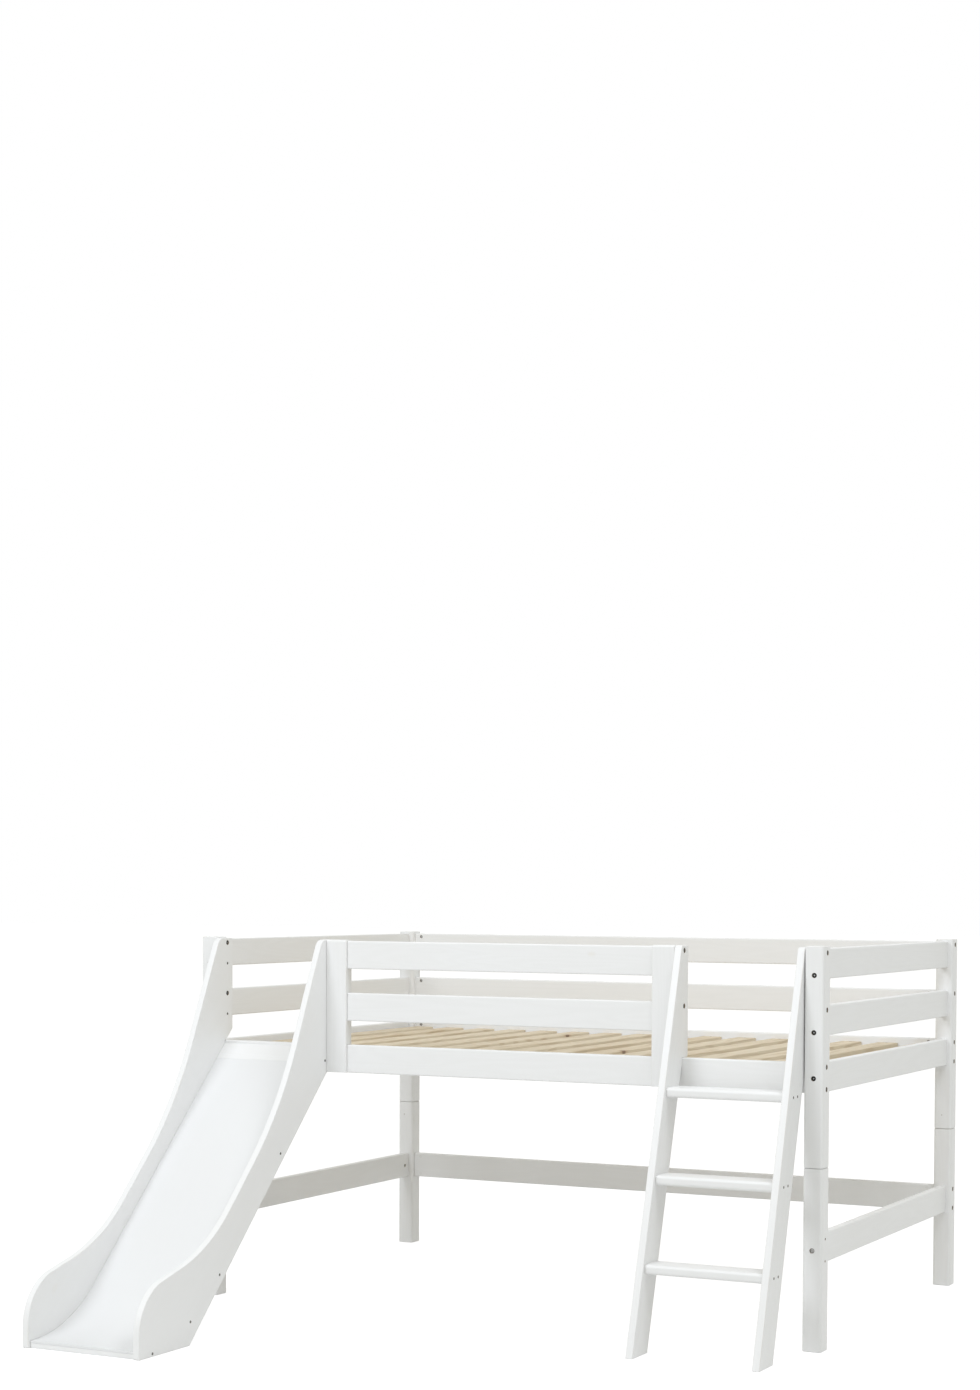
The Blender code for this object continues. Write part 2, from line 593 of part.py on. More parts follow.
# Slide top board: flush with the sheet, its upper end upright against the bed rail
board_under = TOP_BOARD_THICKNESS / math.cos(SLOPE)
top_board_outline = [board_end, joint, joint - AWAY * TOP_BOARD_THICKNESS,
                     Vector((hook_y, board_end.y - board_under))]
batten_length = SLIDE_INNER_WIDTH - 2 * SEAT_GAP
trough_middle = (TROUGH_LEFT_X + TROUGH_RIGHT_X) / 2
board_from_outline("slide_top_board", top_board_outline, batten_length, trough_middle, 0, white_paint)

# Slide battens between the panels: one at the head, three under the sheet, one at the lip
batten_left = TROUGH_LEFT_X + SEAT_GAP
batten_right = TROUGH_RIGHT_X - SEAT_GAP
head_front = hook_y - HEAD_BATTEN_THICKNESS
head_top = slope_z(SHEET_LIFT, head_front) - board_under - SEAT_GAP
bar("slide_batten_head", (batten_left, head_front, head_top - HEAD_BATTEN_HEIGHT),
    (batten_right, hook_y, head_top), 0, BATTEN_ROUND, RAIL_END_CHAMFER, white_paint, segments=1)
bar("slide_batten_lip", (batten_left, lip.x, 0),
    (batten_right, lip.x + LIP_BATTEN_WIDTH, LIP_HEIGHT - SHEET_THICKNESS - SEAT_GAP),
    0, BATTEN_ROUND, RAIL_END_CHAMFER, white_paint, segments=1)


def place_on_path(path, share):
    """The point and the direction at a share of a path's length."""
    lengths = [(after - before).length for before, after in zip(path, path[1:])]
    left = share * sum(lengths)
    for before, after, length in zip(path, path[1:], lengths):
        if left <= length:
            return before + (after - before) * (left / length), (after - before).normalized()
        left -= length
    return path[-1], (path[-1] - path[-2]).normalized()


batten_size = Vector((batten_length, BATTEN_WIDTH, BATTEN_DEPTH))
for number, share in enumerate(BATTEN_PLACE_SHARES):
    spot, direction = place_on_path(sheet_path, share)
    depth = SHEET_THICKNESS + SEAT_GAP + BATTEN_DEPTH / 2
    centre = spot + Vector((-direction.y, direction.x)) * depth
    batten = add_object(f"slide_batten_{number + 1}",
                        bar_mesh(batten_size, 0, BATTEN_ROUND, RAIL_END_CHAMFER, 1), white_paint)
    batten.location = (trough_middle, centre.x, centre.y)
    batten.rotation_euler.x = math.atan2(-direction.y, -direction.x)

# Bolts along Y: through the posts into the end rails
for end_name, post_x, inner_x, inward_x in (
        ("left", POST_CENTRE, RAIL_BACK, 1),
        ("right", BED_LENGTH - POST_CENTRE, BED_LENGTH - RAIL_BACK, -1)):
    for side_name, face_y, direction_y in (("front", 0, 1), ("rear", BED_WIDTH, -1)):
        for level, centre_z in LEVEL_CENTRES.items():
            drop = BOLT_OFFSET if level in ("top", "middle") else 0
            part = "leg" if level == "low" else "post"
            bolt_into_rail(f"{part}_{side_name}_{end_name}", f"{end_name}_end_{level}_rail",
                           (post_x, face_y, centre_z - drop), (0, direction_y, 0),
                           (inner_x, 0, 0), (inward_x, 0, 0))

# Bolts along X: through the posts into the rear rails and the front bed rail
SIDE_BOLTS = [("top", 1), ("middle", 1), ("bed", 1), ("bed", -1), ("low", 1), ("low", -1)]
for end_name, face_x, direction_x in (("left", 0, 1), ("right", BED_LENGTH, -1)):
    for level, side in SIDE_BOLTS:
        bolt_z = LEVEL_CENTRES[level] + side * BOLT_OFFSET
        part = "leg" if level == "low" else "post"
        bolt_into_rail(f"{part}_rear_{end_name}", f"rear_{level}_rail",
                       (face_x, BED_WIDTH - POST_CENTRE, bolt_z), (direction_x, 0, 0),
                       (0, REAR_RAIL_Y, 0), (0, -1, 0))
        front_face = (face_x, POST_CENTRE, bolt_z)
        if level == "bed":
            bolt_into_rail(f"post_front_{end_name}", "front_bed_rail", front_face,
                           (direction_x, 0, 0), (0, RAIL_BACK, 0), (0, 1, 0))
        if level == "low":
            bore_under_head(f"leg_front_{end_name}", front_face, (direction_x, 0, 0), POST_SIDE)

# Bolts that hold the slide and the ladder between the posts and the guard uprights
for level in ("top", "middle"):
    bolt_z = LEVEL_CENTRES[level] + BOLT_OFFSET
    bolt_into_board("post_front_left", "slide_panel_left", (0, POST_CENTRE, bolt_z), (1, 0, 0),
                    PANEL_LEFT_X, TROUGH_LEFT_X)
    bolt_into_upright("slide_panel_right", "slide_upright", (TROUGH_RIGHT_X, POST_CENTRE, bolt_z),
                      (1, 0, 0), PANEL_THICKNESS)
    bolt_into_board("post_front_right", "ladder_stringer_right", (BED_LENGTH, POST_CENTRE, bolt_z),
                    (-1, 0, 0), POST_SIDE + LADDER_POST_GAP,
                    POST_SIDE + LADDER_POST_GAP + STRINGER_THICKNESS)
    bolt_into_upright("ladder_stringer_left", "ladder_upright",
                      (LEFT_STRINGER_X + STRINGER_THICKNESS, POST_CENTRE, bolt_z),
                      (-1, 0, 0), STRINGER_THICKNESS)

for host in hosts:
    for shapes, label, operation in ((pegs, "pegs", "UNION"), (bores, "bores", "DIFFERENCE"),
                                     (nut_seats, "nut_seats", "DIFFERENCE")):
        if host.name in shapes:
            boolean(host, turned_shapes(host, shapes), label, operation)
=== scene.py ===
"""Visual model of a white pine mid-high bed with a slide and a slanted ladder.

Each post, rail, slat and board stands in the place of its CAD solid, with its rounded
edges, its bores and its fasteners, and with painted or natural pine as its finish. Places
on the bed are in metres from its zero corner, on the floor at the outer front corner of the
post at the slide end: X runs to the ladder end, Y to the rear and Z up.
"""

import math

import bmesh
import bpy
from mathutils import Matrix, Vector


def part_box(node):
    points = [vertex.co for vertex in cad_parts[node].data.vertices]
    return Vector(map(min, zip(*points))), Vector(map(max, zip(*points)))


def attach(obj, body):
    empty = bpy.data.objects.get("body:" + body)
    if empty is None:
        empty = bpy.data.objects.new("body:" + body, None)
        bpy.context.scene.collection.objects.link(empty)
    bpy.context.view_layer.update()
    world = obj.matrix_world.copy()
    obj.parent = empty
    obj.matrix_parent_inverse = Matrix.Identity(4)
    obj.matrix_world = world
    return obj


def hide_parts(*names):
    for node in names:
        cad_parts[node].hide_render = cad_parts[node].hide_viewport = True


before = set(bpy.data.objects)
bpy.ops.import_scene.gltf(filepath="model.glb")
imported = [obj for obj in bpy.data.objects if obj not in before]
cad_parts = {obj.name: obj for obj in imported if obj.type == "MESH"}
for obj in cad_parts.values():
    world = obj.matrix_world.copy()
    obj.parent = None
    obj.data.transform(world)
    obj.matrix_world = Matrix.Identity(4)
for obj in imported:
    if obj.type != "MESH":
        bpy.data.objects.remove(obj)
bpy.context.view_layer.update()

# Camera: it stands 6 m in front of the bed and 2 m past its ladder end, a little above the
# posts, and looks to the left. The frame is shifted so that the bed fills its lower third.
IMAGE_HEIGHT = 1390
FOCAL_PIXELS = 2307.47
SENSOR = 36.0
CAMERA_PLACE = (3.1781, -6.1701, 1.2714)
CAMERA_YAW, CAMERA_PITCH, CAMERA_ROLL = 0.442, 0.031, 0.0056
CAMERA_SHIFT = (-0.0772, 0.1931)

camera = bpy.data.objects.new("camera", bpy.data.cameras.new("camera"))
camera.data.sensor_width = SENSOR
camera.data.lens = FOCAL_PIXELS / IMAGE_HEIGHT * SENSOR
camera.data.shift_x, camera.data.shift_y = CAMERA_SHIFT
camera.data.clip_end = 200
camera.matrix_world = (Matrix.Translation(CAMERA_PLACE)
                       @ Matrix.Rotation(CAMERA_YAW, 4, "Z")
                       @ Matrix.Rotation(math.pi / 2 - CAMERA_PITCH, 4, "X")
                       @ Matrix.Rotation(CAMERA_ROLL, 4, "Z"))
bpy.context.scene.collection.objects.link(camera)
bpy.context.scene.camera = camera

# Studio: a broad soft lamp at the left front, another high at the right and an even white
# room, over a white floor that keeps the bed's shadow. Camera, glossy and transmission rays
# see room and floor in plain white.
ROOM_LIGHT = 0.57
ROOM_TINT, PLAIN_WHITE = (1.0, 1.0, 0.92, 1), (1, 1, 1, 1)
LAMP_AIM = Vector((0, 0, 0.6))
LAMP_DISTANCE, LAMP_SIZE = 6.0, 2.5
LAMP_TINT = (0.97, 1.0, 1.08)
# Each lamp's turn from the bed's front to its right, its rise, both in degrees, and its power
LAMPS = ((-20, 35, 112), (70, 60, 112))
FLOOR_SIZE = 60
FLOOR_BOUNCE = (0.8, 0.8, 0.8, 1)
FLOOR_SHADE = (0.42, 0.42, 0.42, 1)
FLOOR_GLOW = 0.82


class Wire:
    """A node's output; arithmetic on it adds Math nodes."""

    def __init__(self, nodes, socket):
        self.nodes = nodes
        self.socket = socket

    def math(self, operation, first, second):
        return self.nodes.add("Math", {"operation": operation}, {0: first, 1: second})

    def __add__(self, other):
        return self.math("ADD", self, other)

    def __radd__(self, other):
        return self.math("ADD", other, self)

    def __sub__(self, other):
        return self.math("SUBTRACT", self, other)

    def __rsub__(self, other):
        return self.math("SUBTRACT", other, self)

    def __mul__(self, other):
        return self.math("MULTIPLY", self, other)

    def __rmul__(self, other):
        return self.math("MULTIPLY", other, self)

    def __truediv__(self, other):
        return self.math("DIVIDE", self, other)

    def __gt__(self, other):
        return self.math("GREATER_THAN", self, other)


class Nodes:
    """A shader's node tree; each method adds nodes to it and returns their output."""

    def __init__(self, tree):
        self.tree = tree

    def add(self, kind, settings=None, inputs=None, output=0):
        """A node with its settings made first, then its inputs' values or links."""
        node = self.tree.nodes.new(f"ShaderNode{kind}")
        for name, value in (settings or {}).items():
            setattr(node, name, value)
        for name, value in (inputs or {}).items():
            self.feed(node.inputs[name], value)
        return Wire(self, node.outputs[output])

    def feed(self, socket, value):
        if isinstance(value, Wire):
            self.tree.links.new(value.socket, socket)
        else:
            socket.default_value = value

    def blend(self, share, colour, other):
        """A colour mixed towards another by a share."""
        return self.add("Mix", {"data_type": "RGBA"}, {0: share, 6: colour, 7: other}, output=2)

    def plain_view(self):
        """1 for camera, glossy and transmission rays, and 0 for rays that bring light."""
        camera_ray, glossy_ray, transmission_ray = (
            self.add("LightPath", output=f"Is {kind} Ray")
            for kind in ("Camera", "Glossy", "Transmission"))
        either = camera_ray.math("MAXIMUM", camera_ray, glossy_ray)
        return either.math("MAXIMUM", either, transmission_ray)

    def between(self, value, low, high):
        """How far a value has come from a low to a high mark, as a smooth 0 to 1."""
        return self.add("MapRange", {"interpolation_type": "SMOOTHSTEP"},
                        {"Value": value, "From Min": low, "From Max": high})

    def noise(self, place, scale=1.0, detail=2.0, roughness=0.5, distortion=0.0):
        return self.add("TexNoise", inputs={
            "Vector": place, "Scale": scale, "Detail": detail,
            "Roughness": roughness, "Distortion": distortion})

    def waves(self, figure, count):
        """Rings that a figure's levels draw, as 0 to 1."""
        return self.add("Math", {"operation": "SINE"}, {0: figure * count}) * 0.5 + 0.5

    def knots(self, place, rarity):
        """The distance to a cell's knot, and 1 in the cells that have one."""
        cell = {"Vector": place, "Scale": 1.0, "Randomness": 1.0}
        drawn = self.add("SeparateColor", inputs={
            0: self.add("TexVoronoi", inputs=cell, output="Color")})
        return self.add("TexVoronoi", inputs=cell, output="Distance"), drawn > rarity

    def bump(self, strength, distance, height):
        return self.add("Bump", inputs={
            "Strength": strength, "Distance": distance, "Height": height})


room = bpy.data.worlds.new("room")
bpy.context.scene.world = room
room.use_nodes = True
room_nodes = Nodes(room.node_tree)
seen_plainly = room_nodes.plain_view()
background = room.node_tree.nodes["Background"]
room_nodes.feed(background.inputs["Color"],
                room_nodes.blend(seen_plainly, ROOM_TINT, PLAIN_WHITE))
room_nodes.feed(background.inputs["Strength"], ROOM_LIGHT + seen_plainly * (1 - ROOM_LIGHT))

for turn, rise, power in LAMPS:
    lamp = bpy.data.objects.new("soft_lamp", bpy.data.lights.new("soft_lamp", "AREA"))
    lamp.data.energy = power
    lamp.data.size = LAMP_SIZE
    lamp.data.color = LAMP_TINT
    towards = (Matrix.Rotation(math.radians(turn), 3, "Z")
               @ Matrix.Rotation(math.radians(-rise), 3, "X") @ Vector((0, -1, 0)))
    lamp.location = LAMP_AIM + towards * LAMP_DISTANCE
    lamp.rotation_euler = towards.to_track_quat("Z", "Y").to_euler()
    bpy.context.scene.collection.objects.link(lamp)

floor_bm = bmesh.new()
bmesh.ops.create_grid(floor_bm, x_segments=1, y_segments=1, size=FLOOR_SIZE)
floor_mesh = bpy.data.meshes.new("floor")
floor_bm.to_mesh(floor_mesh)
floor_bm.free()
floor_look = bpy.data.materials.new("floor_white")
floor_look.use_nodes = True
floor_nodes = Nodes(floor_look.node_tree)
floor_output = floor_look.node_tree.nodes["Material Output"]
shaded = floor_nodes.add("BsdfDiffuse", inputs={"Color": FLOOR_SHADE})
glowing = floor_nodes.add("Emission", inputs={"Strength": FLOOR_GLOW})
bouncing = floor_nodes.add("BsdfDiffuse", inputs={"Color": FLOOR_BOUNCE})
floor_nodes.feed(floor_output.inputs["Surface"], floor_nodes.add("MixShader", inputs={
    0: floor_nodes.plain_view(),
    1: bouncing,
    2: floor_nodes.add("AddShader", inputs={0: shaded, 1: glowing})}))
floor_mesh.materials.append(floor_look)
floor = bpy.data.objects.new("floor", floor_mesh)
bpy.context.scene.collection.objects.link(floor)

# Posts and legs: square pine, planed, with rounded corners and a satin white paint that lets
# the grain show faintly. Each upper post stands on a lower leg, and bolts go in from outside.
ZERO_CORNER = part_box("leg_front_left")[0]
BED_LENGTH, BED_WIDTH = 2.060, 1.280
POST_SIDE = 0.057
POST_CENTRE = POST_SIDE / 2
POST_ROUND = 0.008
POST_END_ROUND = 0.003
LEG_HEIGHT = 0.510
POST_BASE, POST_TOP = 0.5103, 1.125
LONG_STEPS, END_STEPS = 5, 2
CREASE = math.radians(38)
OVERRUN = 0.002
# Places nearer to each other than this are the same
TOUCHING = 1e-6
SEAT_RADIUS, SEAT_DEPTH = 0.0073, 0.005
DRILL_SIDES = 24
BORE_SLOT = 1
# Heights of the bolts that run along X and along Y, by the rail that they hold
X_BOLTS = {"top": (1.1065,), "middle": (0.9485,), "bed": (0.7905, 0.7285),
           "low": (0.3135, 0.2515)}
Y_BOLTS = {"top": (1.0445,), "middle": (0.8865,), "bed": (0.7595,), "low": (0.2825,)}
SPARE_BORE_RADIUS = 0.0035
PIN_HOLE_RADIUS, PIN_HOLE_DEPTH = 0.0014, 0.006
# Pin holes in the front faces of two rear pieces: distance from the left edge, and height
PIN_HOLES = {("rear", "right", "post"): (0.026, 0.555), ("rear", "left", "leg"): (0.023, 0.465)}
PAINT_LIGHT, PAINT_GRAIN = (0.868, 0.871, 0.871, 1), (0.800, 0.800, 0.788, 1)
PAINT_CLOUD, PAINT_KNOT = (0.838, 0.836, 0.824, 1), (0.74, 0.69, 0.58, 1)
PAINT_WORN = (0.70, 0.66, 0.58, 1)
# Bore walls: raw pine, its colour darkened to paint the shade deep inside the holes
SHADED_BORE_LIGHT, SHADED_BORE_DARK = (0.46, 0.37, 0.26, 1), (0.30, 0.22, 0.14, 1)

bolt_places = []
plated_places = []
capped_places = []


def new_look(name):
    """A new material, with its shader, its nodes and the place on the object."""
    look = bpy.data.materials.new(name)
    look.use_nodes = True
    nodes = Nodes(look.node_tree)
    return (look, look.node_tree.nodes["Principled BSDF"].inputs, nodes,
            nodes.add("TexCoord", output="Object"))


def painted_pine(name, grain_turn=(0, 0, 0), grain_share=1.0):
    """White paint on pine whose grain runs along Z, or along Z turned by Euler angles."""
    look, sockets, nodes, place = new_look(name)
    grain = nodes.add("Mapping", {"vector_type": "TEXTURE"},
                      {"Vector": place, "Rotation": grain_turn})

    def stretched(across, along):
        return nodes.add("Mapping", inputs={"Vector": grain, "Scale": (across, across, along)})

    figure = nodes.noise(stretched(13, 1.1), roughness=0.45, distortion=0.35)
    rings = nodes.waves(figure, 74)
    fibre = nodes.noise(stretched(620, 16))
    cloud = nodes.noise(place, 2.6, 1.0)
    peel = nodes.noise(place, 420.0, 1.0)
    knot_distance, knot_here = nodes.knots(stretched(7.5, 4.2), 0.80)
    knot = nodes.between(knot_distance, 0.095, 0.05) * knot_here
    rim = nodes.add("Attribute", {"attribute_name": "rim"}, output="Fac")
    wear = rim * nodes.between(figure + fibre * 0.35, 0.55, 0.85)

    paint = nodes.blend(rings * 0.17 * grain_share + fibre * 0.12 * grain_share,
                        PAINT_LIGHT, PAINT_GRAIN)
    paint = nodes.blend(nodes.between(cloud, 0.35, 0.7) * 0.22, paint, PAINT_CLOUD)
    paint = nodes.blend(knot * 0.22 * grain_share, paint, PAINT_KNOT)
    nodes.feed(sockets["Base Color"], nodes.blend(wear * 0.38, paint, PAINT_WORN))
    nodes.feed(sockets["Roughness"], 0.36 + fibre * 0.12 + cloud * 0.06 + wear * 0.15)
    height = (rings * 0.24 + fibre * 0.36 - knot * 0.4) * grain_share + peel * 0.22
    nodes.feed(sockets["Normal"], nodes.bump(0.30, 0.0004, height))
    nodes.feed(sockets["Coat Weight"], 0.12)
    nodes.feed(sockets["Coat Roughness"], 0.25)
    return look


def raw_pine_with_painted_shade(name):
    """Raw wood inside a bore, coloured darker than the slats' raw pine as painted shade deep in
    the hole.
    """
    look, sockets, nodes, place = new_look(name)
    torn = nodes.noise(place, 900.0)
    nodes.feed(sockets["Base Color"], nodes.blend(torn, SHADED_BORE_LIGHT, SHADED_BORE_DARK))
    nodes.feed(sockets["Roughness"], 0.75 + torn * 0.2)
    nodes.feed(sockets["Normal"], nodes.bump(0.6, 0.0003, torn))
    return look


QUARTER = math.pi / 2
# Raw pine with painted shade, for the walls of all bores
bore_wood_and_shade = raw_pine_with_painted_shade("raw_pine_and_painted_shade_in_bores")
paint_upright = painted_pine("paint_on_upright_grain")
paint_lengthwise = painted_pine("paint_on_lengthwise_grain", (0, QUARTER, 0))
paint_crosswise = painted_pine("paint_on_crosswise_grain", (QUARTER, 0, 0))


def soften(bm, edges, radius, steps):
    """Round some edges, and mark the middle of each rounding as a rim."""
    if radius <= 0:
        return
    rim = bm.verts.layers.float.get("rim") or bm.verts.layers.float.new("rim")
    rounded = bmesh.ops.bevel(bm, geom=edges, offset=radius, segments=steps, profile=0.5,
                              affect="EDGES", material=-1, clamp_overlap=True)
    fresh = set(rounded["faces"])
    for vert in rounded["verts"]:
        if all(face in fresh for face in vert.link_faces):
            vert[rim] = 1.0


def bar(low, high, along, edge_round, end_round, steps=LONG_STEPS):
    """A planed bar between two corners: its long edges rounded, then its ends eased."""
    low, high = Vector(low), Vector(high)
    bm = bmesh.new()
    bmesh.ops.create_cube(bm, size=1.0)
    bmesh.ops.scale(bm, vec=high - low, verts=bm.verts)
    bmesh.ops.translate(bm, vec=(low + high) / 2, verts=bm.verts)
    across = [axis for axis in range(3) if axis != along]
    long_edges = [edge for edge in bm.edges if all(
        abs(edge.verts[0].co[axis] - edge.verts[1].co[axis]) < TOUCHING for axis in across)]
    soften(bm, long_edges, edge_round, steps)
    for end in (low[along], high[along]):
        end_edges = [edge for edge in bm.edges if all(
            abs(vert.co[along] - end) < TOUCHING for vert in edge.verts)]
        soften(bm, end_edges, end_round, END_STEPS)
    return bm


def add_drill(holes, mouth, outward, radius, depth, sides=DRILL_SIDES):
    """Add one drill's shape to the holes of a board, from just outside its mouth inwards."""
    mouth, outward = Vector(mouth), Vector(outward)
    length = depth + OVERRUN
    centre = mouth + outward * (OVERRUN - length / 2)
    turn = outward.to_track_quat("Z", "Y").to_matrix().to_4x4()
    drill = bmesh.ops.create_cone(holes, cap_ends=True, segments=sides, radius1=radius,
                                  radius2=radius, depth=length,
                                  matrix=Matrix.Translation(centre) @ turn)
    for vert in drill["verts"]:
        for face in vert.link_faces:
            face.material_index = BORE_SLOT


def seat_bolt(holes, mouth, outward, places):
    """Drill a bolt's seat and note its place among the bolts of its kind."""
    add_drill(holes, mouth, outward, SEAT_RADIUS, SEAT_DEPTH)
    places.append((Vector(mouth), Vector(outward)))


def cut(bm, tools):
    """A bmesh with the tools' bmesh cut away, which keeps the tools' material slots inside."""
    blanks = []
    for source in (bm, tools):
        blank = bpy.data.objects.new("blank", bpy.data.meshes.new("blank"))
        source.to_mesh(blank.data)
        source.free()
        for slot in range(BORE_SLOT + 1):
            blank.data.materials.append(None)
        bpy.context.scene.collection.objects.link(blank)
        blanks.append(blank)
    boolean = blanks[0].modifiers.new("cut", "BOOLEAN")
    boolean.solver = "EXACT"
    boolean.object = blanks[1]
    finished = bmesh.new()
    finished.from_object(blanks[0], bpy.context.evaluated_depsgraph_get())
    for blank in blanks:
        bpy.data.meshes.remove(blank.data)
    return finished


def add_piece(name, bm, look, nodes=()):
    """A finished piece of the bed that stands for CAD nodes and rides on the bed."""
    bmesh.ops.translate(bm, vec=ZERO_CORNER, verts=bm.verts)
    bmesh.ops.recalc_face_normals(bm, faces=bm.faces)
    mesh = bpy.data.meshes.new(name)
    bm.to_mesh(mesh)
    bm.free()
    mesh.materials.append(look)
    if any(polygon.material_index == BORE_SLOT for polygon in mesh.polygons):
        mesh.materials.append(bore_wood_and_shade)
    mesh.polygons.foreach_set("use_smooth", [True] * len(mesh.polygons))
    mesh.set_sharp_from_angle(angle=CREASE)
    piece = bpy.data.objects.new(name, mesh)
    bpy.context.scene.collection.objects.link(piece)
    evening = piece.modifiers.new("even_shading", "WEIGHTED_NORMAL")
    evening.keep_sharp = True
    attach(piece, "root")
    if nodes:
        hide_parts(*nodes)


for side, face_y, out_y in (("front", 0, -1), ("rear", BED_WIDTH, 1)):
    for end, face_x, out_x in (("left", 0, -1), ("right", BED_LENGTH, 1)):
        low_x = min(face_x, face_x - out_x * POST_SIDE)
        low_y = min(face_y, face_y - out_y * POST_SIDE)
        centre_x, centre_y = low_x + POST_CENTRE, low_y + POST_CENTRE
        for part, base, top, levels in (("leg", 0, LEG_HEIGHT, ("low",)),
                                        ("post", POST_BASE, POST_TOP, ("top", "middle", "bed"))):
            holes = bmesh.new()
            y_places = bolt_places
            if (side, end) == ("front", "left"):
                y_places = capped_places
            elif (side, part) == ("front", "leg"):
                y_places = plated_places
            for level in levels:
                for height in Y_BOLTS[level]:
                    seat_bolt(holes, (centre_x, face_y, height), (0, out_y, 0), y_places)
                for height in X_BOLTS[level]:
                    if (side, part) == ("front", "leg"):
                        add_drill(holes, (face_x, centre_y, height), (out_x, 0, 0),
                                  SPARE_BORE_RADIUS, POST_SIDE)
                    else:
                        seat_bolt(holes, (face_x, centre_y, height), (out_x, 0, 0),
                                  bolt_places)
            if (side, end, part) in PIN_HOLES:
                inset, height = PIN_HOLES[side, end, part]
                add_drill(holes, (low_x + inset, low_y, height), (0, -1, 0),
                          PIN_HOLE_RADIUS, PIN_HOLE_DEPTH)
            blank = bar((low_x, low_y, base), (low_x + POST_SIDE, low_y + POST_SIDE, top), 2,
                        POST_ROUND, POST_END_ROUND)
            add_piece(f"painted_{part}_{side}_{end}", cut(blank, holes), paint_upright,
                      [f"{part}_{side}_{end}"])

# Rails: planed pine boards with small roundings, bolted end-on to the posts. Each bolt's
# cross nut sits in a blind hole in the rail's inner face, close to the rail's end. White caps
# close these holes in the low rear rail.
RAIL_ROUND, RAIL_END_ROUND = 0.004, 0.0008
NUT_HOLE_RADIUS, NUT_HOLE_DEPTH = 0.0055, 0.006
NUT_INSET = 0.0253

nut_places = []
capped_nut_places = []


def bed_box(node):
    """A CAD node's lowest and highest corner, from the bed's zero corner."""
    low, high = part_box(node)
    return low - ZERO_CORNER, high - ZERO_CORNER


def rail(node, along, inward, heights, look):
    """A painted rail in a CAD node's box, with the cross nuts' holes in its inner face."""
    low, high = bed_box(node)
    inward = Vector(inward)
    face = Vector([high[axis] if inward[axis] > 0 else low[axis] for axis in range(3)])
    holes = bmesh.new()
    for end in (low[along] + NUT_INSET, high[along] - NUT_INSET):
        for height in heights:
            mouth = face.copy()
            mouth[along] = end
            mouth.z = height
            add_drill(holes, mouth, inward, NUT_HOLE_RADIUS, NUT_HOLE_DEPTH)
            places = capped_nut_places if node == "rear_low_rail" else nut_places
            places.append((mouth, inward))
    blank = bar(low, high, along, RAIL_ROUND, RAIL_END_ROUND)
    add_piece(f"painted_{node}", cut(blank, holes), look, [node])


for level in ("bed", "middle", "top", "low"):
    rail(f"left_end_{level}_rail", 1, (1, 0, 0), Y_BOLTS[level], paint_crosswise)
    rail(f"right_end_{level}_rail", 1, (-1, 0, 0), Y_BOLTS[level], paint_crosswise)
    rail(f"rear_{level}_rail", 0, (0, -1, 0), X_BOLTS[level], paint_lengthwise)
rail("front_bed_rail", 0, (0, 1, 0), X_BOLTS["bed"], paint_lengthwise)

# Guard uprights and rails: two thicker boards stand over the front bed rail, with their foot
# thinned to a tongue that laps it, and two rails are dowelled between them.
BED_RAIL_BASE, BED_RAIL_TOP = 0.717, 0.8023
BOARD_TOP = 1.121
UPRIGHT_FRONT, UPRIGHT_BACK, TONGUE_BACK = 0.008, 0.041, 0.0157
UPRIGHT_TOP_RADIUS, UPRIGHT_FOOT_RADIUS = 0.006, 0.0015
UPRIGHT_ROUND = 0.003
UPRIGHT_WIDTH = 0.070
GUARD_START, GUARD_END = 0.5223, 1.5379
SLIDE_UPRIGHT_X, LADDER_UPRIGHT_X = 0.452, 1.5382
RIM_STEPS = 3
ARC_STEP = math.radians(3)


def outlined_board(corners, left_x, right_x, rim_round):
    """A board from an outline's corners (y, z, radius), with its rims rounded."""
    bm = bmesh.new()
    spots = [Vector((left_x, y, z)) for y, z, radius in corners]
    ends = []
    for index, (spot, (y, z, radius)) in enumerate(zip(spots, corners)):
        back = (spots[index - 1] - spot).normalized()
        ahead = (spots[(index + 1) % len(spots)] - spot).normalized()
        if radius == 0:
            vert = bm.verts.new(spot)
            ends.append((vert, vert))
            continue
        half = back.angle(ahead) / 2
        start = bm.verts.new(spot + back * radius / math.tan(half))
        centre = spot + (back + ahead).normalized() * radius / math.sin(half)
        turn = math.pi - 2 * half
        turning = -1 if back.cross(ahead).x > 0 else 1
        steps = max(3, math.ceil(turn / ARC_STEP))
        bmesh.ops.spin(bm, geom=[start], cent=centre, axis=(1, 0, 0), angle=turning * turn,
                       steps=steps, use_duplicate=False)
        bm.verts.ensure_lookup_table()
        ends.append((start, bm.verts[-1]))
    for index in range(len(ends)):
        bm.edges.new((ends[index - 1][1], ends[index][0]))
    side = bmesh.ops.contextual_create(bm, geom=bm.edges[:])["faces"]
    extruded = bmesh.ops.extrude_face_region(bm, geom=side)
    moved = [item for item in extruded["geom"] if isinstance(item, bmesh.types.BMVert)]
    bmesh.ops.translate(bm, vec=(right_x - left_x, 0, 0), verts=moved)
    bmesh.ops.recalc_face_normals(bm, faces=bm.faces)
    rims = [edge for edge in bm.edges
            if abs(edge.verts[0].co.x - edge.verts[1].co.x) < TOUCHING]
    soften(bm, rims, rim_round, RIM_STEPS)
    return bm


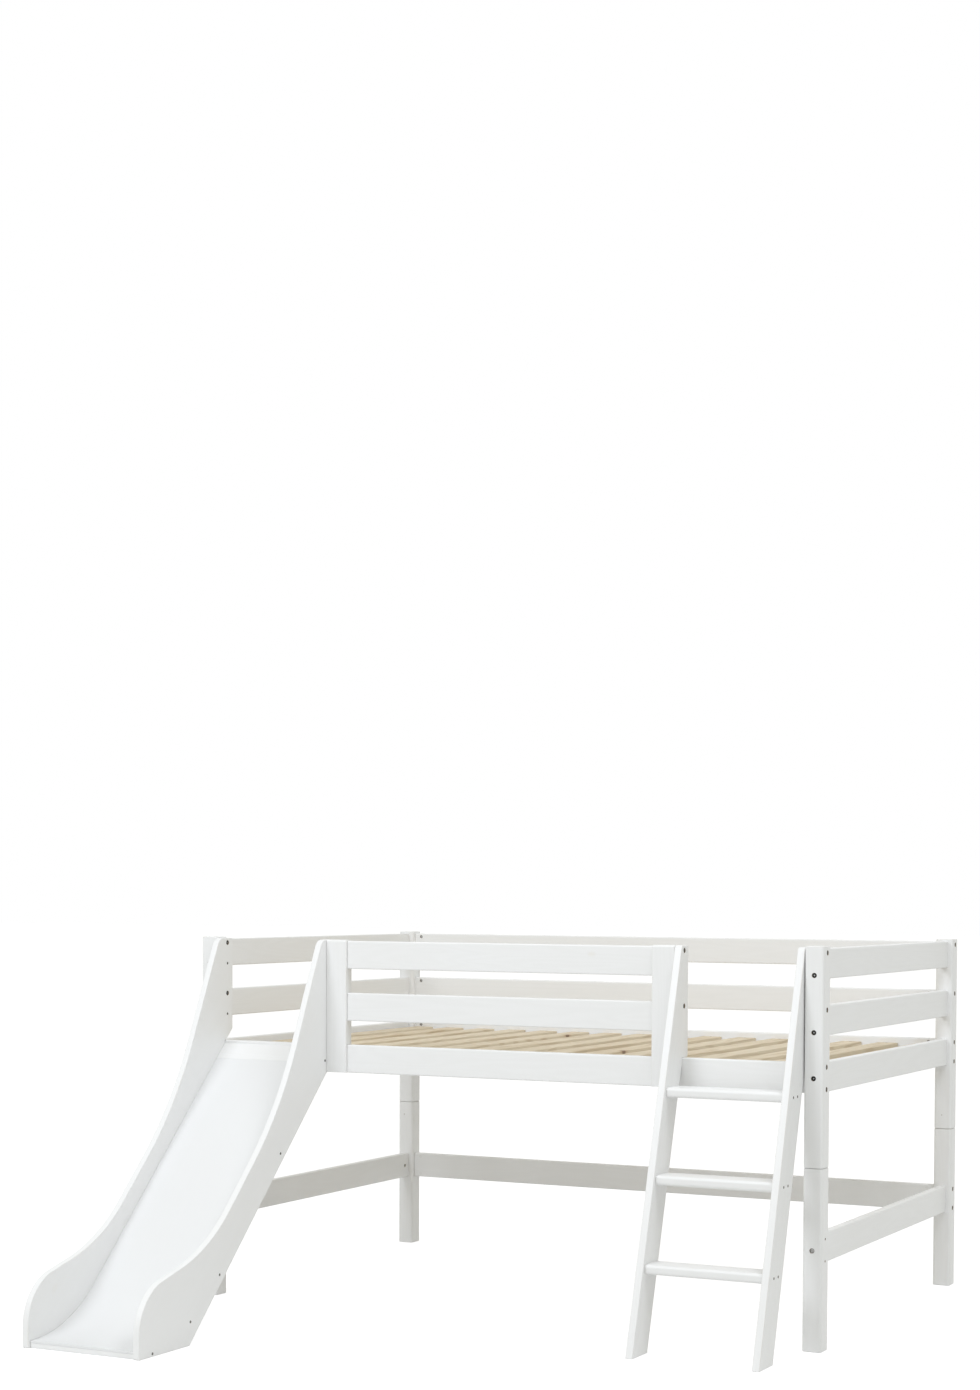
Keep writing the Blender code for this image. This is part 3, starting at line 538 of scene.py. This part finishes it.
upright_corners = [
    (UPRIGHT_FRONT, BED_RAIL_BASE, UPRIGHT_FOOT_RADIUS),
    (TONGUE_BACK, BED_RAIL_BASE, 0),
    (TONGUE_BACK, BED_RAIL_TOP, 0),
    (UPRIGHT_BACK, BED_RAIL_TOP, 0),
    (UPRIGHT_BACK, BOARD_TOP, UPRIGHT_TOP_RADIUS),
    (UPRIGHT_FRONT, BOARD_TOP, UPRIGHT_TOP_RADIUS),
]
for node, left_x in (("slide_upright", SLIDE_UPRIGHT_X), ("ladder_upright", LADDER_UPRIGHT_X)):
    add_piece(f"painted_{node}",
              outlined_board(upright_corners, left_x, left_x + UPRIGHT_WIDTH, UPRIGHT_ROUND),
              paint_upright, [node])
for node in ("guard_middle_rail", "guard_top_rail"):
    low, high = bed_box(node)
    low.x, high.x = GUARD_START, GUARD_END
    add_piece(f"painted_{node}", bar(low, high, 0, RAIL_ROUND, RAIL_END_ROUND),
              paint_lengthwise, [node])

# Slatted base: two painted bearers screwed to the bed rails carry sixteen planed slats of
# natural pine, each with its own tone, its knots and one screw at either end.
BEARER_ROUND = 0.002
SLAT_ROUND, SLAT_END_ROUND = 0.003, 0.001
SLAT_COUNT, SLAT_WIDTH = 16, 0.070
SLAT_FIRST_EDGE, SLAT_PITCH = 0.0623, 0.12436
SLAT_STEPS = 2
SCREW_SEAT_RADIUS, SCREW_SEAT_DEPTH = 0.0041, 0.003
SCREW_SEAT_SIDES = 16
EARLY_WOOD, LATE_WOOD = (0.72, 0.615, 0.450, 1), (0.50, 0.375, 0.225, 1)
PALE_WOOD = (0.75, 0.675, 0.53, 1)
KNOT_HALO, KNOT_HEART = (0.46, 0.30, 0.16, 1), (0.17, 0.085, 0.04, 1)

screw_places = []


def seat_screw(holes, mouth, outward):
    """Drill a screw head's seat and note its place for the fasteners."""
    add_drill(holes, mouth, outward, SCREW_SEAT_RADIUS, SCREW_SEAT_DEPTH, SCREW_SEAT_SIDES)
    screw_places.append((Vector(mouth), Vector(outward)))


def natural_pine(name):
    """Planed pine whose grain runs along Y, with another tone and figure for every slat."""
    look, sockets, nodes, place = new_look(name)
    along_bed = nodes.add("SeparateXYZ", inputs={0: place}, output="X")
    first_edge = ZERO_CORNER.x + SLAT_FIRST_EDGE - (SLAT_PITCH - SLAT_WIDTH) / 2
    number = nodes.add("Math", {"operation": "FLOOR"},
                       {0: (along_bed - first_edge) / SLAT_PITCH})
    draw = nodes.add("TexWhiteNoise", {"noise_dimensions": "1D"}, {"W": number + 3.0},
                     output="Color")
    apart = nodes.add("VectorMath", {"operation": "SCALE"}, {0: draw, "Scale": 9.0})
    own_place = nodes.add("VectorMath", {"operation": "ADD"}, {0: place, 1: apart})
    tone = nodes.add("SeparateColor", inputs={0: draw}, output=0)

    def stretched(across, along):
        return nodes.add("Mapping", inputs={"Vector": own_place, "Scale": (across, along, across)})

    figure = nodes.noise(stretched(11, 0.75), roughness=0.4, distortion=0.25)
    rings = nodes.waves(figure, 96)
    fibre = nodes.noise(stretched(700, 14), detail=3.0)
    knot_distance, knot_here = nodes.knots(stretched(8, 5), 0.62)
    halo = nodes.between(knot_distance, 0.20, 0.07) * knot_here
    knot = nodes.between(knot_distance, 0.085, 0.055) * knot_here

    late_share = nodes.between(rings, 0.45, 1.0) * 0.55 + fibre * 0.22
    wood = nodes.blend(late_share, EARLY_WOOD, LATE_WOOD)
    wood = nodes.blend(tone * 0.35, wood, PALE_WOOD)
    wood = nodes.blend(halo * 0.5, wood, KNOT_HALO)
    nodes.feed(sockets["Base Color"], nodes.blend(knot * 0.85, wood, KNOT_HEART))
    nodes.feed(sockets["Roughness"], 0.52 + fibre * 0.18 - knot * 0.12)
    nodes.feed(sockets["Normal"],
               nodes.bump(0.5, 0.0004, rings * 0.4 + fibre * 0.6 + knot * 0.5))
    return look


pine = natural_pine("planed_natural_pine")
bearer_middles = []
for node in ("front_slat_bearer", "rear_slat_bearer"):
    low, high = bed_box(node)
    bearer_middles.append((low.y + high.y) / 2)
    add_piece(f"painted_{node}", bar(low, high, 0, BEARER_ROUND, RAIL_END_ROUND),
              paint_lengthwise, [node])
for number in range(SLAT_COUNT):
    node = f"slat_{number + 1:02d}"
    low, high = bed_box(node)
    holes = bmesh.new()
    for bearer_y in bearer_middles:
        seat_screw(holes, ((low.x + high.x) / 2, bearer_y, high.z), (0, 0, 1))
    blank = bar(low, high, 1, SLAT_ROUND, SLAT_END_ROUND, SLAT_STEPS)
    add_piece(f"pine_{node}", cut(blank, holes), pine, [node])

# Ladder: two slanted stringers hook over the front bed rail and stand upright behind it, and
# three flat rungs with round nosings are screwed between them from outside.
LADDER_REACH, LADDER_LEAN = 0.315, 0.291
STRINGER_RUN = 0.10206
STRINGER_THICKNESS = 0.022
LEFT_STRINGER_X, RIGHT_STRINGER_X = 1.6085, 1.9785
STRINGER_TOP_RADIUS, STRINGER_HOOK_RADIUS, STRINGER_FOOT_RADIUS = 0.012, 0.006, 0.002
STRINGER_ROUND = 0.003
RUNG_TOPS = (0.2485, 0.487, 0.7255)
RUNG_THICKNESS, RUNG_DEPTH, RUNG_INSET, RUNG_ROUND = 0.028, 0.085, 0.008, 0.009
RUNG_SCREWS = (0.024, 0.056)
SEAT_GAP = 0.0003


def stringer_front(z):
    """Y of the stringers' slanted front edge at a height."""
    return LADDER_LEAN * z - LADDER_REACH


paint_ladder = painted_pine("paint_on_slanted_grain", (-math.atan(LADDER_LEAN), 0, 0))
stringer_back = stringer_front(0) + STRINGER_RUN
stringer_corners = [
    (stringer_front(0), 0, STRINGER_FOOT_RADIUS),
    (stringer_back, 0, STRINGER_FOOT_RADIUS),
    (TONGUE_BACK, (TONGUE_BACK - stringer_back) / LADDER_LEAN, 0),
    (TONGUE_BACK, BED_RAIL_TOP, 0),
    (POST_SIDE, BED_RAIL_TOP, STRINGER_HOOK_RADIUS),
    (POST_SIDE, BOARD_TOP, STRINGER_TOP_RADIUS),
    (stringer_front(BOARD_TOP), BOARD_TOP, STRINGER_TOP_RADIUS),
]
for node, left_x, inner_out, outer_out in (("ladder_stringer_left", LEFT_STRINGER_X, 1, -1),
                                           ("ladder_stringer_right", RIGHT_STRINGER_X, -1, 1)):
    right_x = left_x + STRINGER_THICKNESS
    inner_x, outer_x = (right_x, left_x) if inner_out > 0 else (left_x, right_x)
    holes = bmesh.new()
    for level in ("top", "middle"):
        seat_bolt(holes, (inner_x, POST_CENTRE, X_BOLTS[level][0]), (inner_out, 0, 0),
                  bolt_places)
    for top in RUNG_TOPS:
        for inset in RUNG_SCREWS:
            seat_screw(holes, (outer_x, stringer_front(top) + RUNG_INSET + inset,
                               top - RUNG_THICKNESS / 2), (outer_out, 0, 0))
    blank = outlined_board(stringer_corners, left_x, right_x, STRINGER_ROUND)
    add_piece(f"painted_{node}", cut(blank, holes), paint_ladder, [node])
for number, top in enumerate(RUNG_TOPS):
    front = stringer_front(top) + RUNG_INSET
    rung = bar((LEFT_STRINGER_X + STRINGER_THICKNESS + SEAT_GAP, front, top - RUNG_THICKNESS),
               (RIGHT_STRINGER_X - SEAT_GAP, front + RUNG_DEPTH, top),
               0, RUNG_ROUND, RAIL_END_ROUND)
    add_piece(f"painted_ladder_rung_{number + 1}", rung, paint_lengthwise,
              [f"ladder_rung_{number + 1}"])

# Slide panels: shaped boards with rounded rims, hooked over the front bed rail. A groove
# milled along each inner face takes the edge of the slide sheet.
PANEL_THICKNESS = 0.020
LEFT_PANEL_X, RIGHT_PANEL_X = 0.0573, 0.4317
PANEL_ROUND = 0.003
GROOVE_DEPTH, GROOVE_PLAY = 0.006, 0.0003
# Side outline of the panels: y, z and corner radius
PANEL_CORNERS = [
    (-0.015, BOARD_TOP, 0.035), (-0.2432, 0.6194, 1.100), (-0.6038, 0.2589, 0.520),
    (-0.934, 0.173, 0.145), (-0.934, 0, 0.006), (-0.701, 0, 0.003), (TONGUE_BACK, 0.7167, 0),
    (TONGUE_BACK, BED_RAIL_TOP, 0), (0.0228, BED_RAIL_TOP, 0), (POST_SIDE, 0.8365, 0.002),
    (POST_SIDE, BOARD_TOP, 0.006),
]
# Where the slide sheet's upper face starts, bends and ends: y and z
SHEET_START, SHEET_BEND, SHEET_LIP = (-0.0305, 0.7490), (-0.7585, 0.0210), (-0.9240, 0.0210)
SHEET_RADIUS = 0.385
SHEET_THICKNESS = 0.006
SLOPE_GRAIN_SHARE = 0.4
# The screws into the battens, at y and z, and the heights of those into post and upright
BATTEN_SCREWS = ((0.002, 0.752), (-0.243, 0.492), (-0.556, 0.178), (-0.697, 0.067),
                 (-0.873, 0.009))
PANEL_SCREW_HEIGHTS = (1.042, 0.884)


def sheet_corners(above, below, play):
    """The side outline of a strip along the slide sheet, between two depths from its top."""
    slope_share = math.sqrt(0.5)
    bend_share = math.tan(math.pi / 8)
    rows = []
    for depth in (-above, below):
        step = depth * slope_share
        rows.append([
            (SHEET_START[0] + step + play, SHEET_START[1] - step + play, 0),
            (SHEET_BEND[0] + depth * bend_share, SHEET_BEND[1] - depth, SHEET_RADIUS + depth),
            (SHEET_LIP[0] - play, SHEET_LIP[1] - depth, 0)])
    return rows[0] + rows[1][::-1]


SLOPE_TURN = (-math.pi / 4, 0, 0)
paint_slide = painted_pine("paint_on_slope_grain", SLOPE_TURN, SLOPE_GRAIN_SHARE)
for node, left_x, inner_out in (("slide_panel_left", LEFT_PANEL_X, 1),
                                ("slide_panel_right", RIGHT_PANEL_X, -1)):
    right_x = left_x + PANEL_THICKNESS
    inner_x, outer_x = (right_x, left_x) if inner_out > 0 else (left_x, right_x)
    groove = sheet_corners(GROOVE_PLAY, SHEET_THICKNESS + GROOVE_PLAY, GROOVE_PLAY)
    tools = outlined_board(groove, inner_x - GROOVE_DEPTH * inner_out,
                           inner_x + OVERRUN * inner_out, 0)
    for level in ("top", "middle"):
        seat_bolt(tools, (inner_x, POST_CENTRE, X_BOLTS[level][0]), (inner_out, 0, 0),
                  bolt_places)
    for height in PANEL_SCREW_HEIGHTS:
        seat_screw(tools, (inner_x, POST_CENTRE, height), (inner_out, 0, 0))
    for y, z in BATTEN_SCREWS:
        seat_screw(tools, (outer_x, y, z), (-inner_out, 0, 0))
    blank = outlined_board(PANEL_CORNERS, left_x, right_x, PANEL_ROUND)
    add_piece(f"painted_{node}", cut(blank, tools), paint_slide, [node])

# Slide sheet: a smooth white laminated board, bent at its foot and let into the panels'
# grooves, with a short fixed board over it that ends against the front bed rail.
TROUGH_LEFT, TROUGH_RIGHT = 0.0773, 0.4317
SHEET_TUCK = 0.0057
TOP_BOARD_CORNERS = [(0.0157, 0.7952, 0.0015), (-0.0303, 0.7492, 0.0008),
                     (-0.0218, 0.7407, 0), (0.0157, 0.7782, 0)]
TOP_BOARD_ROUND = 0.0008
LAMINATE_LIGHT, LAMINATE_GREY = (0.818, 0.824, 0.828, 1), (0.735, 0.738, 0.738, 1)


def white_laminate(name):
    """Smooth white laminate, faintly mottled and rubbed along the run of the slide."""
    look, sockets, nodes, place = new_look(name)
    run = nodes.add("Mapping", {"vector_type": "TEXTURE"},
                    {"Vector": place, "Rotation": SLOPE_TURN})
    streaks = nodes.noise(
        nodes.add("Mapping", inputs={"Vector": run, "Scale": (240, 240, 2.5)}), detail=3.0)
    cloud = nodes.noise(place, 4.0, 1.0)
    grit = nodes.noise(place, 650.0, 1.0)
    nodes.feed(sockets["Base Color"], nodes.blend(
        streaks * 0.14 + cloud * 0.16, LAMINATE_LIGHT, LAMINATE_GREY))
    nodes.feed(sockets["Roughness"], 0.22 + streaks * 0.12 + cloud * 0.10)
    nodes.feed(sockets["Normal"], nodes.bump(0.12, 0.0003, grit * 0.4 + streaks * 0.15))
    nodes.feed(sockets["Coat Weight"], 0.25)
    nodes.feed(sockets["Coat Roughness"], 0.15)
    return look


laminate = white_laminate("white_slide_laminate")
add_piece("laminated_slide_sheet",
          outlined_board(sheet_corners(0, SHEET_THICKNESS, 0), TROUGH_LEFT - SHEET_TUCK,
                         TROUGH_RIGHT + SHEET_TUCK, 0),
          laminate, ["slide_sheet"])
add_piece("painted_slide_top_board",
          outlined_board(TOP_BOARD_CORNERS, TROUGH_LEFT + SEAT_GAP, TROUGH_RIGHT - SEAT_GAP,
                         TOP_BOARD_ROUND),
          paint_lengthwise, ["slide_top_board"])

# Slide battens: planed strips screwed between the panels, three of them square to the slope
# under the sheet, one behind the top board and a wide one under the lip.
BATTEN_WIDTH, BATTEN_DEPTH, BATTEN_ROUND = 0.022, 0.040, 0.002
# The battens along the slope, and their turns in degrees
BATTEN_TURNS = (("slide_batten_1", 45.0), ("slide_batten_2", 45.0), ("slide_batten_3", 35.36))

for node, turn in BATTEN_TURNS:
    low, high = bed_box(node)
    half = Vector(((high.x - low.x) / 2, BATTEN_WIDTH / 2, BATTEN_DEPTH / 2))
    strip = bar(-half, half, 0, BATTEN_ROUND, RAIL_END_ROUND)
    bmesh.ops.rotate(strip, matrix=Matrix.Rotation(math.radians(turn), 3, "X"),
                     verts=strip.verts)
    bmesh.ops.translate(strip, vec=(low + high) / 2, verts=strip.verts)
    add_piece(f"painted_{node}", strip, paint_lengthwise, [node])
for node in ("slide_batten_head", "slide_batten_lip"):
    low, high = bed_box(node)
    add_piece(f"painted_{node}", bar(low, high, 0, BATTEN_ROUND, RAIL_END_ROUND),
              paint_lengthwise, [node])

# Fasteners: black bolts with a zinc-plated core in their key socket, their black heads partly
# painted shade for the dark gap of the seat around each bolt, one bolt plated all over, slotted
# plated cross nuts, dull cross-head screws, and flat white caps over the bolts of the front left
# post and the nuts of the low rear rail.
TURNED_STEPS = 24
# Half outlines of the turned parts: radius, and height over the mouth of the seat
BOLT_PROFILE = [(0.0, -0.0010), (0.0034, -0.0011), (0.0052, -0.0014), (0.0060, -0.0020),
                (0.0063, -0.0027), (0.0063, -0.0048), (0.0, -0.0048)]
SOCKET_PROFILE = [(0.0, -0.0013), (0.0017, -0.0013), (0.0022, -0.0017), (0.0022, -0.0044),
                  (0.0, -0.0044)]
SCREW_PROFILE = [(0.0, -0.0001), (0.0030, -0.0001), (0.0039, -0.0004), (0.0020, -0.0028),
                 (0.0, -0.0028)]
NUT_PROFILE = [(0.0, -0.0020), (0.0044, -0.0020), (0.0050, -0.0025), (0.0050, -0.0058),
               (0.0, -0.0058)]
BOLT_SUNK = 0.001
KEY_SIDES, KEY_RADIUS, KEY_DEPTH = 6, 0.0025, 0.0024
# Length, width and depth of the slots for a screwdriver
NUT_SLOT, SCREW_SLOT = (0.012, 0.0012, 0.0030), (0.0052, 0.0011, 0.0014)
CAP_PLAY, CAP_RIM = 0.00002, 0.00015
# Turn from one fastener to the next, in radians
NEXT_TURN = 2.4
STAIN_SHADE = 0.6
CAP_LIGHT, CAP_GREY = (0.83, 0.83, 0.82, 1), (0.79, 0.79, 0.78, 1)


def metal(name, colour, roughness):
    """Plated or blackened steel with fine turning marks and small stains."""
    look, sockets, nodes, place = new_look(name)
    grit = nodes.noise(place, 900.0)
    stain = nodes.between(nodes.noise(place, 160.0), 0.45, 0.75)
    stained = [value * STAIN_SHADE for value in colour]
    nodes.feed(sockets["Base Color"], nodes.blend(stain * 0.5, (*colour, 1), (*stained, 1)))
    nodes.feed(sockets["Roughness"], roughness + stain * 0.2)
    nodes.feed(sockets["Normal"], nodes.bump(0.3, 0.0001, grit))
    nodes.feed(sockets["Metallic"], 1.0)
    return look


def white_plastic(name):
    """Moulded white plastic with a fine, even grain."""
    look, sockets, nodes, place = new_look(name)
    grain = nodes.noise(place, 1100.0, 1.0)
    nodes.feed(sockets["Base Color"], nodes.blend(grain, CAP_LIGHT, CAP_GREY))
    nodes.feed(sockets["Roughness"], 0.38 + grain * 0.12)
    nodes.feed(sockets["Normal"], nodes.bump(0.2, 0.0001, grain))
    return look


def cap_profile(radius, depth):
    """The half outline of a flat plastic cap, pressed into a round hole."""
    return [(0.0, 0.0), (radius - CAP_RIM, 0.0), (radius, -CAP_RIM), (radius, -depth),
            (0.0, -depth)]


def turned(profile):
    """A turned part about Z from its half outline of (radius, height)."""
    bm = bmesh.new()
    row = [bm.verts.new((radius, 0, height)) for radius, height in profile]
    edges = [bm.edges.new(pair) for pair in zip(row, row[1:])]
    bmesh.ops.spin(bm, geom=row + edges, cent=(0, 0, 0), axis=(0, 0, 1), angle=2 * math.pi,
                   steps=TURNED_STEPS, use_merge=True)
    bmesh.ops.remove_doubles(bm, verts=bm.verts, dist=TOUCHING)
    bmesh.ops.recalc_face_normals(bm, faces=bm.faces)
    return bm


def key_tool():
    """The cutter of the key socket in a bolt's sunk head."""
    tool = bmesh.new()
    bmesh.ops.create_cone(tool, cap_ends=True, segments=KEY_SIDES, radius1=KEY_RADIUS,
                          radius2=KEY_RADIUS, depth=2 * KEY_DEPTH,
                          matrix=Matrix.Translation((0, 0, -BOLT_SUNK)))
    return tool


def slot_tool(size, turn=0.0):
    """The cutter of a screwdriver's slot, turned about the fastener."""
    length, width, depth = size
    tool = bmesh.new()
    bmesh.ops.create_cube(tool, size=1.0)
    bmesh.ops.scale(tool, vec=(length, width, 2 * depth), verts=tool.verts)
    bmesh.ops.rotate(tool, matrix=Matrix.Rotation(turn, 3, "Z"), verts=tool.verts)
    return tool


def set_out(template, places):
    """Copies of one fastener at each place, each turned on from the one before."""
    pattern = bpy.data.meshes.new("pattern")
    template.to_mesh(pattern)
    template.free()
    group = bmesh.new()
    for number, (mouth, outward) in enumerate(places):
        before = len(group.verts)
        group.from_mesh(pattern)
        facing = outward.to_track_quat("Z", "Y").to_matrix().to_4x4()
        turn = Matrix.Rotation(number * NEXT_TURN, 4, "Z")
        bmesh.ops.transform(group, matrix=Matrix.Translation(mouth) @ facing @ turn,
                            verts=group.verts[before:])
    bpy.data.meshes.remove(pattern)
    return group


# Bolt heads: blackened steel whose near-black colour is partly painted shade for the gap of each
# seat
black_steel_and_shade = metal("blackened_steel_and_painted_shade", (0.040, 0.039, 0.038), 0.50)
dull_steel = metal("dull_plated_steel", (0.20, 0.20, 0.19), 0.42)
bright_steel = metal("zinc_plated_steel", (0.44, 0.44, 0.43), 0.42)
cap_plastic = white_plastic("white_cap_plastic")

for name, places, look in (("bolt_heads", bolt_places, black_steel_and_shade),
                           ("plated_bolt_heads", plated_places, bright_steel)):
    add_piece(name, set_out(cut(turned(BOLT_PROFILE), key_tool()), places), look)
add_piece("bolt_sockets", set_out(turned(SOCKET_PROFILE), bolt_places), bright_steel)
slotted_nut = cut(turned(NUT_PROFILE), slot_tool(NUT_SLOT))
add_piece("cross_nuts", set_out(slotted_nut, nut_places), bright_steel)
slotted_screw = cut(turned(SCREW_PROFILE), slot_tool(SCREW_SLOT))
crossed_screw = cut(slotted_screw, slot_tool(SCREW_SLOT, QUARTER))
add_piece("wood_screws", set_out(crossed_screw, screw_places), dull_steel)
for name, radius, depth, places in (
        ("bolt_caps", SEAT_RADIUS, SEAT_DEPTH, capped_places),
        ("nut_caps", NUT_HOLE_RADIUS, NUT_HOLE_DEPTH, capped_nut_places)):
    cap = turned(cap_profile(radius - CAP_PLAY, depth - CAP_PLAY))
    add_piece(name, set_out(cap, places), cap_plastic)

bpy.context.scene.view_settings.view_transform = "Standard"
